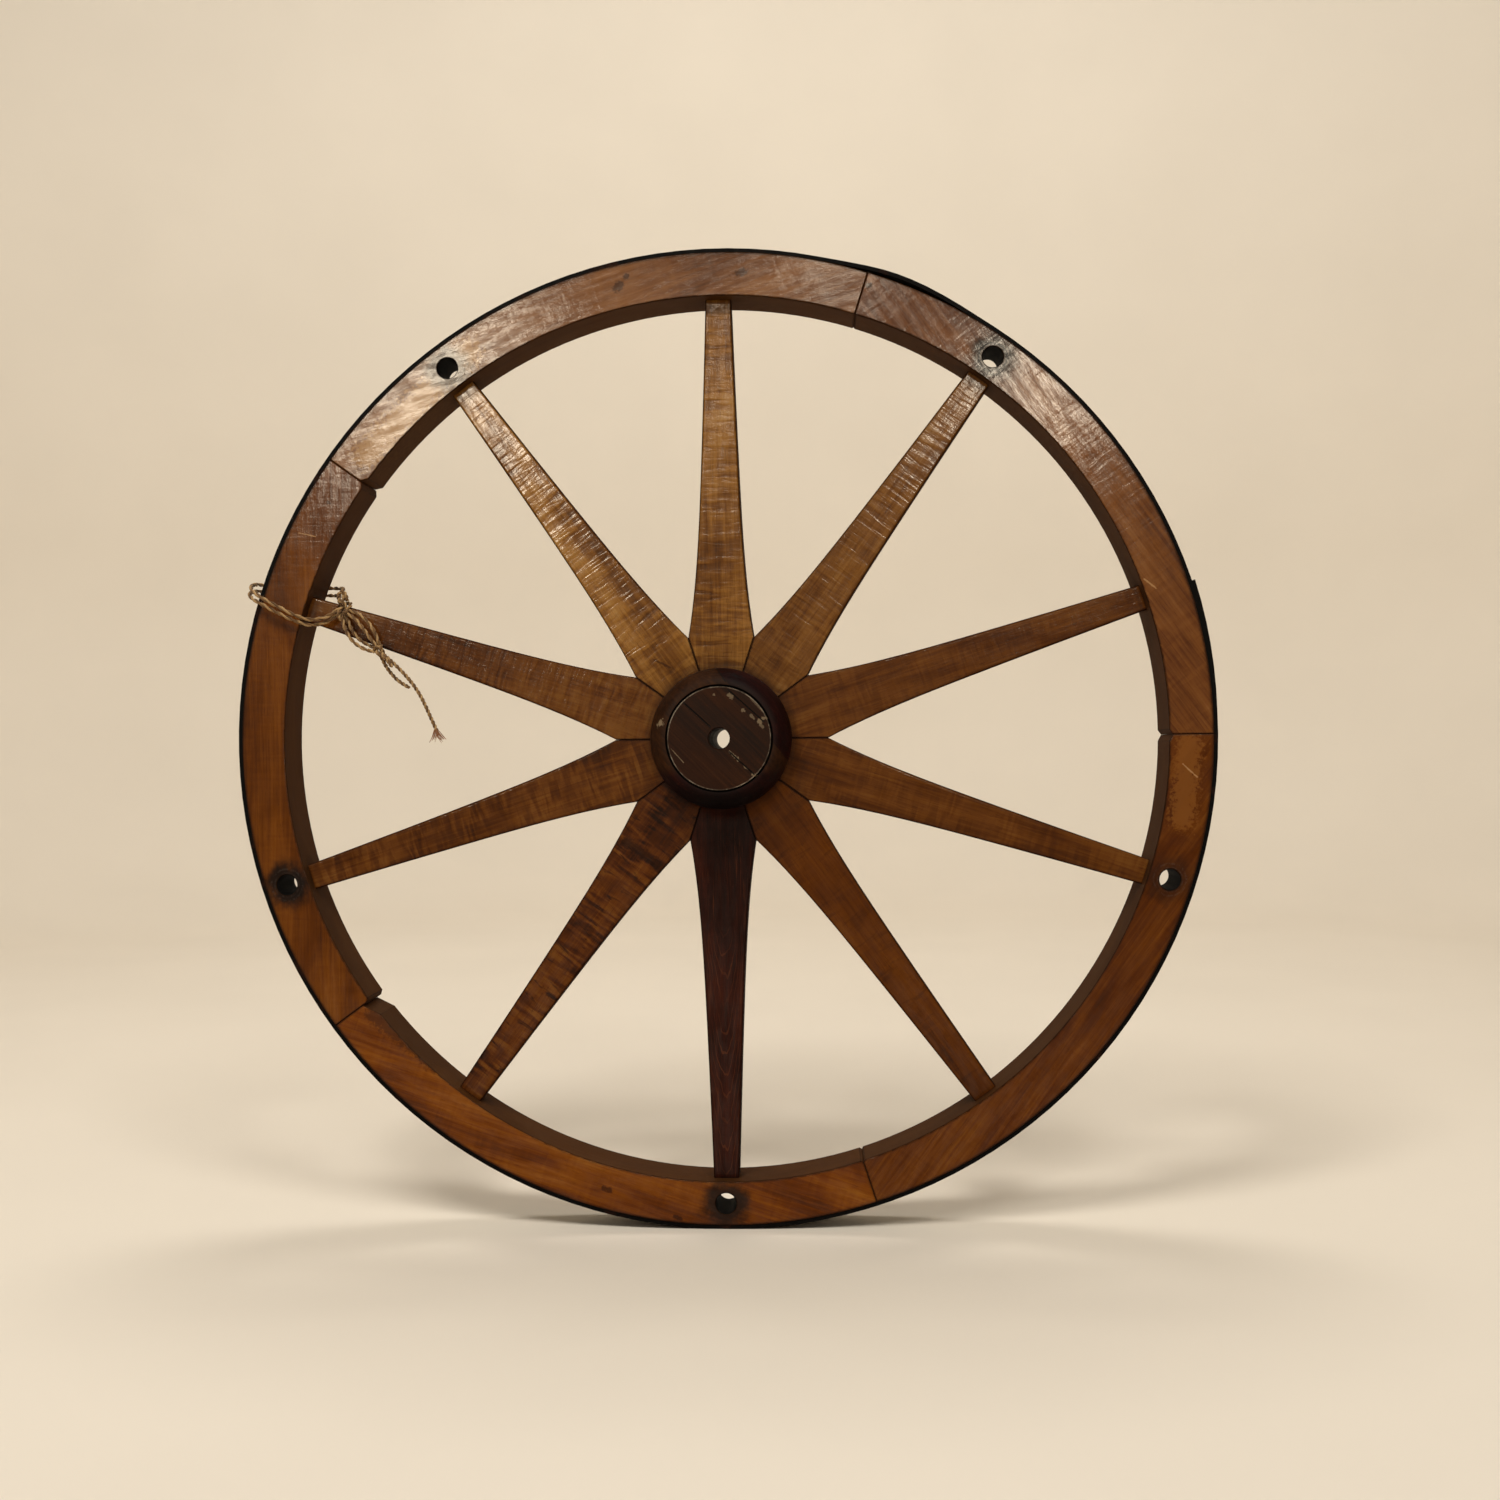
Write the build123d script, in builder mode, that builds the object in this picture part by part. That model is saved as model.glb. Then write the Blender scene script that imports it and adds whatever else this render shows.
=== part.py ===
"""A ten-spoke wooden wheel with an iron hoop, and the jute twine that is tied round its rim.

The wheel stands upright in the XZ plane with its front facing -Y. The origin is the centre of
the axle bore, half-way through the rim. Angles are clock angles: degrees clockwise from the
top, seen from the front. All sizes are in millimetres.
"""

import os
from math import cos, degrees, pi, radians, sin, tan

from build123d import *

os.makedirs("parts", exist_ok=True)

# Rim: five felloes inside an iron hoop
wheel_diameter = 762.0
hoop_thickness = 3.0
hoop_width = 38.0
rim_depth = 40.0
felloe_width = 34.0
felloe_count = 5
first_joint = 18.0
joint_gap = 0.15
rim_edge_radius = 1.0

hoop_outer = wheel_diameter / 2
rim_outer = hoop_outer - hoop_thickness
rim_inner = rim_outer - felloe_width
rim_middle = (rim_outer + rim_inner) / 2
felloe_angle = 360 / felloe_count

# Worn inner corners of each felloe, at its first and last joint going clockwise:
# how far each one runs along the joint and along the inner face.
worn_corners = [
    ((1.0, 1.0), (2.5, 3.5)),
    ((2.5, 5.0), (1.5, 1.5)),
    ((1.5, 1.5), (7.0, 14.0)),
    ((3.0, 2.5), (3.0, 4.0)),
    ((4.5, 5.0), (1.0, 1.0)),
]

# The hoop has sprung off the rim along one stretch, and its forged lap steps up at one end
sprung_start, sprung_crest, sprung_end, sprung_lift = 12.0, 20.5, 34.0, 3.0
lap_start, lap_end, lap_step = 72.0, 90.0, 2.4

# Bolt holes through the rim, one beside every second spoke
bolt_hole_diameter = 16.0
bolt_circle_diameter = 2 * rim_middle
bolt_offset = 18.0
bolt_edge_chamfer = 0.8

# Spokes: a mitred foot, a flared blade and a round tenon
spoke_count = 10
spoke_angle = 360 / spoke_count
shoulder_radius = 83.0
mitre_gap = 0.15
mitre_chamfer = 0.6
foot_depth = 30.0
# Blade sections: distance from the axle, width, depth and corner radius
blade_sections = [
    (106.0, 43.5, 28.5, 1.4),
    (153.0, 35.2, 26.4, 1.8),
    (207.0, 29.7, 24.4, 2.0),
    (261.0, 25.5, 22.7, 2.0),
    (315.0, 21.8, 21.0, 1.8),
    (348.0, 19.6, 20.0, 1.6),
]
tenon_diameter = 13.0
long_tenon = 25.0
stub_tenon = 6.0
mortise_allowance = 0.1
spoke_shoulder_gap = 0.1

# Hub: two turned bosses that clamp the feet; the front one carries the core and the bore
bore_diameter = 16.0
hub_length = 104.0
core_diameter = 60.0
boss_diameter = 109.0
boss_face_diameter = 83.0
boss_rim_height = 12.0
groove_diameter = 80.0
groove_width = 1.8
groove_depth = 2.0
core_clearance = 0.1
bore_chamfer = 0.5
# Drying cracks in the front face: both ends, as seen from the front
face_cracks = [((-26.5, 27.3), (-6.6, 9.0)), ((7.7, -10.2), (26.3, -27.4)), ((7.1, 36.8), (33.8, 12.4))]
crack_width = 0.8
crack_taper = 3.0
crack_depth = 2.5

# Hidden fixings
felloe_dowel_diameter = 10.0
felloe_dowel_length = 40.0
foot_dowel_diameter = 8.0
foot_dowel_length = 50.0
foot_dowel_circle = 96.0
dowel_allowance = 0.05
nail_diameter = 2.6
nail_length = 15.0
nail_head_diameter = 7.2
nail_head_depth = 2.4
nail_offset = 6.0

# Twine: doubled round the rim and through both loops of the bow, single in its tails
twine_diameter = 2.7
lower_loop_route = [
    (-300.0, -16.8, 102.8),
    (-304.5, -17.6, 98.6),
    (-309.6, -18.6, 95.0),
    (-316.0, -20.8, 92.6),
    (-322.8, -23.4, 92.2),
    (-330.0, -25.6, 94.2),
    (-338.4, -27.0, 98.0),
    (-347.6, -27.4, 102.6),
    (-357.0, -27.0, 107.8),
    (-368.0, -23.4, 113.6),
    (-374.8, -11.0, 118.8),
    (-377.2, 5.0, 122.4),
    (-377.8, 18.0, 123.8),
    (-371.6, 27.0, 123.2),
    (-358.0, 29.5, 122.0),
    (-341.0, 29.5, 121.2),
    (-324.0, 26.5, 120.6),
    (-312.6, 17.5, 119.4),
    (-307.0, 5.0, 118.2),
    (-304.0, -6.5, 116.0),
    (-299.6, -14.5, 109.0),
]
upper_loop_route = [
    (-298.2, -17.2, 106.5),
    (-302.8, -19.6, 102.9),
    (-308.6, -21.2, 98.9),
    (-315.0, -22.6, 96.6),
    (-321.6, -25.0, 96.2),
    (-328.6, -27.0, 98.0),
    (-336.6, -28.4, 101.9),
    (-345.4, -28.8, 106.6),
    (-355.2, -28.4, 111.8),
    (-366.4, -24.2, 118.4),
    (-373.6, -11.0, 124.2),
    (-376.8, 5.0, 127.8),
    (-377.4, 18.5, 129.2),
    (-371.0, 27.5, 128.6),
    (-357.6, 30.0, 127.6),
    (-341.0, 30.0, 127.2),
    (-322.6, 27.0, 126.6),
    (-310.2, 18.5, 125.2),
    (-304.4, 6.0, 123.6),
    (-300.6, -6.5, 120.8),
    (-297.4, -14.2, 112.0),
]
outer_left_bow_route = [
    (-298.6, -17.4, 102.0),
    (-297.4, -17.8, 95.0),
    (-295.2, -18.0, 88.0),
    (-291.6, -17.6, 81.4),
    (-286.2, -17.2, 76.2),
    (-279.4, -17.2, 72.6),
    (-272.4, -16.8, 70.8),
]
inner_left_bow_route = [
    (-296.4, -16.4, 101.0),
    (-293.2, -16.2, 94.4),
    (-290.6, -15.8, 87.6),
    (-286.2, -15.0, 81.6),
    (-279.8, -14.4, 77.2),
    (-272.8, -14.4, 74.1),
]
inner_right_bow_route = [
    (-295.2, -18.4, 102.4),
    (-288.6, -19.6, 98.6),
    (-283.2, -19.8, 92.6),
    (-278.6, -19.4, 86.0),
    (-274.6, -18.4, 80.0),
    (-270.6, -16.4, 74.4),
]
outer_right_bow_route = [
    (-294.8, -18.0, 105.0),
    (-287.6, -19.6, 102.6),
    (-280.4, -20.0, 98.2),
    (-274.8, -19.4, 91.8),
    (-271.2, -18.0, 84.4),
    (-269.2, -15.9, 76.6),
]
long_tail_route = [
    (-267.8, -15.8, 70.6),
    (-261.3, -17.0, 65.3),
    (-253.6, -16.2, 57.8),
    (-246.1, -15.0, 49.5),
    (-238.9, -14.0, 39.2),
    (-233.7, -14.0, 29.0),
    (-228.7, -15.0, 18.0),
    (-224.2, -15.2, 8.2),
]
short_tail_route = [
    (-269.3, -14.0, 69.6),
    (-266.5, -12.4, 62.0),
    (-261.6, -11.8, 54.5),
    (-254.9, -11.8, 47.4),
    (-246.4, -12.1, 42.6),
]
knot_centre, knot_half_width, knot_half_height = (-297.0, -16.6, 105.0), 4.8, 9.0
bow_knot_centre, bow_knot_half_width, bow_knot_half_height = (-269.6, -15.3, 72.4), 3.9, 5.6


def clock_direction(angle):
    """Unit vector in the wheel's plane from the axle towards a clock angle."""
    return Vector(sin(radians(angle)), 0, cos(radians(angle)))


def wheel_plane(angle=0.0, depth=0.0):
    """Plane across the axle that faces the front, with its y axis towards a clock angle."""
    clockwise = (cos(radians(angle)), 0, -sin(radians(angle)))
    return Plane(origin=(0, depth, 0), x_dir=clockwise, z_dir=(0, -1, 0))


def radial_plane(angle, radius):
    """Plane that faces outwards across a spoke at one distance from the axle."""
    outwards = clock_direction(angle)
    clockwise = (cos(radians(angle)), 0, -sin(radians(angle)))
    return Plane(origin=outwards * radius, x_dir=clockwise, z_dir=outwards)


def joint_plane(angle):
    """Plane of a felloe joint, with its origin at the middle of the joint."""
    clockwise = (cos(radians(angle)), 0, -sin(radians(angle)))
    return Plane(origin=clock_direction(angle) * rim_middle, x_dir=(0, 1, 0), z_dir=clockwise)


def polar(radius, angle):
    """Point of a wheel-plane sketch at a clock angle from its y axis."""
    return (radius * sin(radians(angle)), radius * cos(radians(angle)))


def bore_out(plane, diameter, length, both=False):
    """Cut a round hole of a given length from a plane."""
    with BuildSketch(plane) as hole:
        Circle(diameter / 2)
    extrude(hole.sketch, amount=length, both=both, mode=Mode.SUBTRACT)


def save(part, label):
    """Name one finished piece and write it."""
    part.label = label
    export_step(part, f"parts/{label}.step")


def joint_angles():
    return [first_joint + felloe_angle * number for number in range(felloe_count)]


def nail_angles():
    """Two nails beside each joint, but none where the hoop has sprung off."""
    angles = [joint + side * nail_offset for joint in joint_angles() for side in (-1, 1)]
    return [angle for angle in angles if not sprung_start < angle < sprung_end]


def nail_shapes(angles, mode):
    """Countersunk nails driven inwards through the hoop into the felloes."""
    for angle in angles:
        with BuildSketch(radial_plane(angle, rim_outer - nail_length)) as shank:
            Circle(nail_diameter / 2)
        extrude(shank.sketch, amount=nail_length + hoop_thickness, mode=mode)
        with BuildSketch(radial_plane(angle, hoop_outer - nail_head_depth)) as neck:
            Circle(nail_diameter / 2)
        with BuildSketch(radial_plane(angle, hoop_outer)) as head:
            Circle(nail_head_diameter / 2)
        loft([neck.sketch, head.sketch], mode=mode)


def make_felloe(number):
    """One fifth of the wooden rim: an arc with two mortises, a bolt hole and two dowel holes."""
    start = first_joint + number * felloe_angle
    half = felloe_angle / 2 - degrees(joint_gap / 2 / rim_middle)
    (start_along, start_inside), (end_along, end_inside) = worn_corners[number]
    with BuildPart() as felloe:
        with BuildSketch(wheel_plane(start + felloe_angle / 2)):
            with BuildLine():
                outer = CenterArc((0, 0), rim_outer, 90 - half, 2 * half)
                end_cut = degrees(end_inside / rim_inner)
                start_cut = degrees(start_inside / rim_inner)
                inner = CenterArc((0, 0), rim_inner, 90 - half + end_cut, 2 * half - end_cut - start_cut)
                Polyline(outer @ 0, polar(rim_inner + end_along, half), inner @ 0)
                Polyline(outer @ 1, polar(rim_inner + start_along, -half), inner @ 1)
            make_face()
        extrude(amount=rim_depth / 2, both=True)
        faces = felloe.faces().filter_by(Axis.Y).sort_by(Axis.Y)
        fillet(faces[0].edges() + faces[-1].edges(), rim_edge_radius)

        with BuildSketch(wheel_plane(start + bolt_offset)):
            with Locations((0, bolt_circle_diameter / 2)):
                Circle(bolt_hole_diameter / 2)
        extrude(amount=rim_depth, both=True, mode=Mode.SUBTRACT)
        rings = felloe.edges().filter_by(GeomType.CIRCLE)
        mouths = rings.filter_by(lambda ring: abs(ring.radius - bolt_hole_diameter / 2) < 0.01)
        chamfer(mouths, bolt_edge_chamfer)

        for offset, tenon in ((bolt_offset, stub_tenon), (bolt_offset + spoke_angle, long_tenon)):
            mortise = radial_plane(start + offset, rim_inner - 2)
            bore_out(mortise, tenon_diameter + mortise_allowance, tenon + 3)
        for joint in (start, start + felloe_angle):
            hole = felloe_dowel_diameter + dowel_allowance
            bore_out(joint_plane(joint), hole, felloe_dowel_length / 2 + 0.5, both=True)
        nails = [angle for angle in nail_angles() if (angle - start) % 360 < felloe_angle]
        nail_shapes(nails, Mode.SUBTRACT)
    return felloe.part


def make_hoop():
    """The iron tyre: a flat band with a sprung stretch and a stepped lap."""
    with BuildPart() as hoop:
        for radius, mode in ((hoop_outer, Mode.ADD), (rim_outer, Mode.SUBTRACT)):
            with BuildSketch(wheel_plane()):
                with BuildLine():
                    held = 360 - (sprung_end - sprung_start)
                    band = CenterArc((0, 0), radius, 90 - sprung_start, held)
                    crest = polar(radius + sprung_lift, sprung_crest)
                    Spline(band @ 1, crest, band @ 0, tangents=(band % 1, band % 0))
                make_face()
            extrude(amount=hoop_width / 2, both=True, mode=mode)
        with BuildSketch(wheel_plane()):
            with BuildLine():
                buried = CenterArc((0, 0), hoop_outer - 0.5, 90 - lap_end, lap_end - lap_start)
                step = polar(hoop_outer + lap_step, lap_start)
                middle = polar(hoop_outer + lap_step * 0.45, (lap_start + lap_end) / 2)
                Line(buried @ 1, step)
                ThreePointArc(step, middle, buried @ 0)
            make_face()
        extrude(amount=hoop_width / 2, both=True)
        nail_shapes(nail_angles(), Mode.SUBTRACT)
    return hoop.part


def make_spoke(number):
    """A mitred foot, a blade that tapers to the rim, and a tenon; stubbed behind a bolt hole."""
    angle = number * spoke_angle
    mitre = radians(spoke_angle / 2)
    shoulder_y = shoulder_radius * cos(mitre)
    inset = mitre_gap / 2 / cos(mitre)
    shoulder_x = shoulder_y * tan(mitre) - inset
    core = core_diameter / 2 + core_clearance
    root_x = core * sin(mitre) - inset
    root_y = core * cos(mitre)
    with BuildPart() as spoke:
        with BuildSketch(wheel_plane(angle)):
            with BuildLine():
                right = Line((root_x, root_y), (shoulder_x, shoulder_y))
                left = Line((-shoulder_x, shoulder_y), (-root_x, root_y))
                Line(right @ 1, left @ 0)
                ThreePointArc((-root_x, root_y), (0, core), (root_x, root_y))
            make_face()
        extrude(amount=foot_depth / 2, both=True)
        mitre_length = Vector(shoulder_x - root_x, shoulder_y - root_y).length
        front_and_back = spoke.faces().filter_by(Axis.Y).edges()
        chamfer(front_and_back.filter_by(lambda edge: abs(edge.length - mitre_length) < 0.01), mitre_chamfer)

        with BuildSketch(radial_plane(angle, shoulder_y)):
            RectangleRounded(2 * shoulder_x, foot_depth, mitre_chamfer)
        for distance, width, depth, corner in blade_sections:
            with BuildSketch(radial_plane(angle, distance)):
                RectangleRounded(width, depth, corner)
        loft()
        with BuildSketch(wheel_plane(angle)):
            Circle(rim_inner - spoke_shoulder_gap)
        extrude(amount=rim_depth, both=True, mode=Mode.INTERSECT)

        tenon = stub_tenon if number % 2 else long_tenon
        with BuildSketch(radial_plane(angle, rim_inner - 10)):
            Circle(tenon_diameter / 2)
        extrude(amount=tenon + 10)
        with BuildSketch(wheel_plane(angle)):
            with Locations((0, foot_dowel_circle / 2)):
                Circle((foot_dowel_diameter + dowel_allowance) / 2)
        extrude(amount=foot_depth, both=True, mode=Mode.SUBTRACT)
    return spoke.part


def dowel_holes(depth_from, depth_to):
    """Blind holes for the foot dowels, between two depths along the axle."""
    with BuildSketch(wheel_plane(depth=depth_from)) as holes:
        with PolarLocations(foot_dowel_circle / 2, spoke_count, start_angle=90):
            Circle((foot_dowel_diameter + dowel_allowance) / 2)
    extrude(holes.sketch, amount=depth_from - depth_to, mode=Mode.SUBTRACT)


def make_front_boss():
    """The turned front boss with its core through the ring of feet, and the axle bore."""
    face, seat = -hub_length / 2, -foot_depth / 2
    bore, core = bore_diameter / 2, core_diameter / 2
    edge, widest = boss_face_diameter / 2, boss_diameter / 2
    groove = groove_diameter / 2
    with BuildPart() as boss:
        with BuildSketch(Plane.XY):
            with BuildLine():
                Polyline(
                    (bore, face),
                    (groove - groove_width / 2, face),
                    (groove, face + groove_depth),
                    (groove + groove_width / 2, face),
                    (edge, face),
                )
                EllipticalCenterArc(
                    (edge, seat - boss_rim_height), widest - edge, seat - boss_rim_height - face,
                    start_angle=-90, arc_size=90)
                Polyline(
                    (widest, seat - boss_rim_height),
                    (widest, seat),
                    (core, seat),
                    (core, hub_length / 2),
                    (bore, hub_length / 2),
                    (bore, face),
                )
            make_face()
        revolve(axis=Axis.Y)
        rings = boss.edges().filter_by(GeomType.CIRCLE)
        chamfer(rings.filter_by(lambda ring: abs(ring.radius - bore) < 0.01), bore_chamfer)
        with BuildSketch(wheel_plane(depth=face)):
            for first, last in face_cracks:
                along = (Vector(last) - Vector(first)).normalized()
                side = Vector(-along.Y, along.X) * crack_width / 2
                near, far = Vector(first) + along * crack_taper, Vector(last) - along * crack_taper
                with BuildLine():
                    Polyline(first, near + side, far + side, last, far - side, near - side, close=True)
                make_face()
        extrude(amount=-crack_depth, mode=Mode.SUBTRACT)
        dowel_holes(seat, -foot_dowel_length / 2 - 0.5)
    return boss.part


def make_rear_boss():
    """The turned rear boss, a ring glued over the core."""
    seat, face = foot_depth / 2, hub_length / 2
    hole = core_diameter / 2 + core_clearance
    edge, widest = boss_face_diameter / 2, boss_diameter / 2
    with BuildPart() as boss:
        with BuildSketch(Plane.XY):
            with BuildLine():
                rim_top = (widest, seat + boss_rim_height)
                Polyline((edge, face), (hole, face), (hole, seat), (widest, seat), rim_top)
                EllipticalCenterArc(
                    (edge, seat + boss_rim_height), widest - edge, face - seat - boss_rim_height,
                    start_angle=0, arc_size=90)
            make_face()
        revolve(axis=Axis.Y)
        dowel_holes(foot_dowel_length / 2 + 0.5, seat)
    return boss.part


def make_felloe_dowels():
    """One dowel across each felloe joint."""
    with BuildPart() as dowels:
        for joint in joint_angles():
            with BuildSketch(joint_plane(joint)):
                Circle(felloe_dowel_diameter / 2)
            extrude(amount=felloe_dowel_length / 2, both=True)
    return dowels.part


def make_foot_dowels():
    """One dowel through each spoke foot into both bosses."""
    with BuildPart() as dowels:
        with BuildSketch(wheel_plane()):
            with PolarLocations(foot_dowel_circle / 2, spoke_count, start_angle=90):
                Circle(foot_dowel_diameter / 2)
        extrude(amount=foot_dowel_length / 2, both=True)
    return dowels.part


def make_nails():
    """The countersunk hoop nails."""
    with BuildPart() as nails:
        nail_shapes(nail_angles(), Mode.ADD)
    return nails.part


def make_knot(centre, half_width, half_height):
    """A pulled-tight knot as a plain egg-shaped solid."""
    with BuildPart() as knot:
        with BuildSketch(Plane(origin=centre, x_dir=(1, 0, 0), z_dir=(0, -1, 0))):
            Ellipse(half_width, half_height)
            Rectangle(half_width, 2 * half_height, align=(Align.MAX, Align.CENTER), mode=Mode.SUBTRACT)
        revolve(axis=Axis(centre, (0, 0, 1)))
    return knot.part


def bend_radii(route):
    """The largest arc at each inner point that keeps a tenth of the shorter run straight."""
    radii = []
    for before, here, after in zip(route, route[1:], route[2:]):
        arriving = Vector(*here) - Vector(*before)
        leaving = Vector(*after) - Vector(*here)
        half_turn = radians(arriving.get_angle(leaving)) / 2
        radii.append(0.45 * min(arriving.length, leaving.length) / tan(half_turn))
    return radii


def make_twine(label, route, knots):
    """A run of twine as straight runs joined by tangent arcs, cut off where it enters its knots."""
    radii = bend_radii(route)
    with BuildPart() as twine:
        with BuildLine() as path:
            FilletPolyline(*route, radius=radii)
        centreline = path.wires()[0]
        with BuildSketch(Plane(origin=route[0], z_dir=centreline % 0)):
            Circle(twine_diameter / 2)
        sweep()
        whole = twine.part.volume
        for knot in knots:
            add(knot, mode=Mode.SUBTRACT)
    expected = pi * twine_diameter**2 / 4 * centreline.length
    print(f"{label}: length {centreline.length:.1f}, volume {whole:.1f} of {expected:.1f},", end=" ")
    print("radii", [round(radius, 1) for radius in radii])
    save(twine.part, label)


for number in range(felloe_count):
    save(make_felloe(number), f"felloe_{number + 1}")
for number in range(spoke_count):
    save(make_spoke(number), f"spoke_{number + 1}")
save(make_hoop(), "iron_hoop")
save(make_nails(), "hoop_nails")
save(make_felloe_dowels(), "felloe_dowels")
save(make_foot_dowels(), "foot_dowels")
save(make_front_boss(), "hub_front_boss")
save(make_rear_boss(), "hub_rear_boss")

knot = make_knot(knot_centre, knot_half_width, knot_half_height)
bow_knot = make_knot(bow_knot_centre, bow_knot_half_width, bow_knot_half_height)
save(knot, "twine_knot")
save(bow_knot, "twine_bow_knot")
make_twine("twine_loop_lower", lower_loop_route, [knot])
make_twine("twine_loop_upper", upper_loop_route, [knot])
for side, route in (("left", outer_left_bow_route), ("right", outer_right_bow_route)):
    make_twine(f"twine_bow_{side}_outer", route, [knot, bow_knot])
for side, route in (("left", inner_left_bow_route), ("right", inner_right_bow_route)):
    make_twine(f"twine_bow_{side}_inner", route, [knot, bow_knot])
make_twine("twine_tail_long", long_tail_route, [bow_knot])
make_twine("twine_tail_short", short_tail_route, [bow_knot])
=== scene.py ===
"""The looks of the ten-spoke wooden wheel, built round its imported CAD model.

Everything is in metres in the CAD model's frame: the wheel stands in the XZ plane, its front
faces -Y, and clock angles run clockwise from the top as seen from the front.
"""

import math
import random

import bpy
from mathutils import Matrix, Vector


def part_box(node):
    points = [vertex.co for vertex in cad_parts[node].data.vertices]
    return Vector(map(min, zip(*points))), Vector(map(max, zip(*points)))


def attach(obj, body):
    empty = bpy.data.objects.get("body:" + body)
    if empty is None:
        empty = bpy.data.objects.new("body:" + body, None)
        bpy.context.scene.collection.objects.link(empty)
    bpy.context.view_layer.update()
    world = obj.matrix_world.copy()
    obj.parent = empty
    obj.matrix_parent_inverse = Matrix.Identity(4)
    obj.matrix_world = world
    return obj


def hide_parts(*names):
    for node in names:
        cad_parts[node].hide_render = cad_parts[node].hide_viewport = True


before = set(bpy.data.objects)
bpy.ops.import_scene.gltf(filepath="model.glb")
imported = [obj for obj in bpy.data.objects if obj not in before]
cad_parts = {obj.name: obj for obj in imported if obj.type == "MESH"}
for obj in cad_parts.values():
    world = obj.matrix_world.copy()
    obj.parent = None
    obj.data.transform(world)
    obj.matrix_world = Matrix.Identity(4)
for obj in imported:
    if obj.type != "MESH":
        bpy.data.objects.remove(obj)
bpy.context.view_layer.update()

MM = 0.001

# ---------------------------------------------------------------- dimensions from the frame

RIM_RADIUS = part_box("iron_hoop")[1][2]
HUB_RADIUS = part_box("hub_front_boss")[1][0]
SPOKE_STEP, FELLOE_STEP = 360 / 10, 360 / 5
FIRST_JOINT, BOLT_OFFSET = 18.0, 18.0
BOLT_CIRCLE = RIM_RADIUS - 20 * MM
BOLT_RADIUS = 8 * MM
GROOVE_RADIUS = 40 * MM
TWINE = 2.7 * MM


def on_clock(angle, radius):
    """The point at a clock angle and a distance from the axle."""
    turn = math.radians(angle)
    return Vector((radius * math.sin(turn), 0, radius * math.cos(turn)))


# ---------------------------------------------------------------- camera

# The photograph's view: level with the hub, slightly to its right, turned a touch left
CAMERA_PLACE = (0.070, -1.159, -0.009)
CAMERA_FORWARD, CAMERA_RIGHT = Vector((-0.0421, 0.9991, 0.0)), Vector((0.9991, 0.0421, -0.0098))
CAMERA_LENS, CAMERA_SENSOR = 35.28, 36


def make_camera():
    """The camera, with its right-hand side squared to the way it looks."""
    camera = bpy.data.objects.new("camera", bpy.data.cameras.new("camera"))
    bpy.context.scene.collection.objects.link(camera)
    camera.data.sensor_width, camera.data.lens = CAMERA_SENSOR, CAMERA_LENS
    camera.data.clip_start = 0.01
    forward = CAMERA_FORWARD.normalized()
    right = (CAMERA_RIGHT - forward * CAMERA_RIGHT.dot(forward)).normalized()
    up = right.cross(forward)
    turn = Matrix((right, up, -forward)).transposed()
    camera.matrix_world = Matrix.Translation(CAMERA_PLACE) @ turn.to_4x4()
    bpy.context.scene.camera = camera


make_camera()

# ---------------------------------------------------------------- node materials


def srgb(red, green, blue):
    """A colour given as 0 to 255 screen values, as the shader wants it."""

    def linear(value):
        value /= 255
        return value / 12.92 if value <= 0.04045 else ((value + 0.055) / 1.055) ** 2.4

    return (linear(red), linear(green), linear(blue), 1.0)


def tones(*stops):
    """Colours from the darkest to the lightest."""
    return [srgb(*stop) for stop in stops]


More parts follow.
